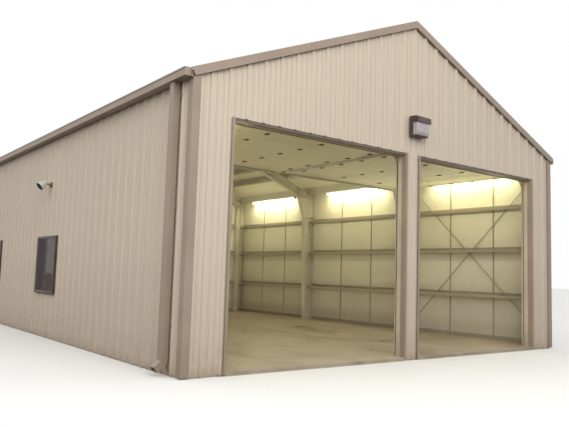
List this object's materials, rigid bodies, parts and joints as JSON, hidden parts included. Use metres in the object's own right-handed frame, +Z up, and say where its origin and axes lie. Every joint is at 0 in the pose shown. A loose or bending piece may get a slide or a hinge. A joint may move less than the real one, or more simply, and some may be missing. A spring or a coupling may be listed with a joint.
{
  "type": "two-bay ambulance garage",
  "caption": "Gable-roofed steel garage with ribbed walls, wide doorways with raised sectional doors, tapered frames, girts, purlins, gutters, windows and lamps.",
  "frame": {"origin": "middle of the floor slab's underside, on the ground", "axes": "+X along the front to the right, +Y from the front to the back, +Z up"},
  "size_m": [9.6417, 12.436, 6.1473],
  "materials": {
    "concrete": "trowelled concrete",
    "wall_sheet": "light stone paint, satin",
    "roof_sheet": "taupe paint, satin",
    "vinyl_facing": "white vinyl facing, matt",
    "trim": "taupe paint, satin",
    "framing": "pale grey primer, matt",
    "jamb_paint": "cream paint, satin",
    "galvanised": "galvanised, dull",
    "door_skin": "off-white paint, satin",
    "bronze": "dark bronze paint, satin",
    "glazing": "clear glass",
    "lamp_white": "white enamel, gloss",
    "light_tube": "white tube, gloss",
    "lamp_lens": "moulded glass",
    "lamp_cream": "cream paint, satin"
  },
  "bodies": {
    "root": {"floor_slab": "concrete", "front_wall_piers": "wall_sheet", "front_gable": "wall_sheet", "back_wall": "wall_sheet", "left_wall": "wall_sheet", "right_wall": "wall_sheet", "front_pier_insulation": "vinyl_facing", "front_gable_insulation": "vinyl_facing", "back_insulation": "vinyl_facing", "side_insulation": "vinyl_facing", "right_roof_sheeting": "roof_sheet", "left_roof_sheeting": "roof_sheet", "right_roof_insulation": "vinyl_facing", "left_roof_insulation": "vinyl_facing", "ridge_cap": "trim", "right_rake_trims": "trim", "left_rake_trims": "trim", "corner_trims": "trim", "gutters": "trim", "downspouts": "trim", "door_jamb_trims": "trim", "door_head_trims": "trim", "door_jamb_posts": "jamb_paint", "door_headers": "jamb_paint", "eave_struts": "framing", "corner_posts": "framing", "back_posts": "framing", "right_end_rafters": "framing", "left_end_rafters": "framing", "frame_columns": "framing", "right_frame_rafters": "framing", "left_frame_rafters": "framing", "side_wall_girts": "framing", "window_framing": "framing", "end_wall_girts": "framing", "base_trims": "framing", "sag_bars": "framing", "purlins": "framing", "wall_braces": "galvanised", "left_door_sections": "door_skin", "right_door_sections": "door_skin", "door_hinges": "galvanised", "door_struts": "galvanised", "door_springs": "galvanised", "door_tracks": "galvanised", "door_rollers": "galvanised", "track_hangers": "galvanised", "window_frames": "bronze", "window_glass": "glazing", "strip_light_housings": "lamp_white", "light_tubes": "light_tube", "wall_lamp_housing": "bronze", "wall_lamp_lens": "lamp_lens", "flood_lamp": "lamp_cream"}
  },
  "joints": []
}
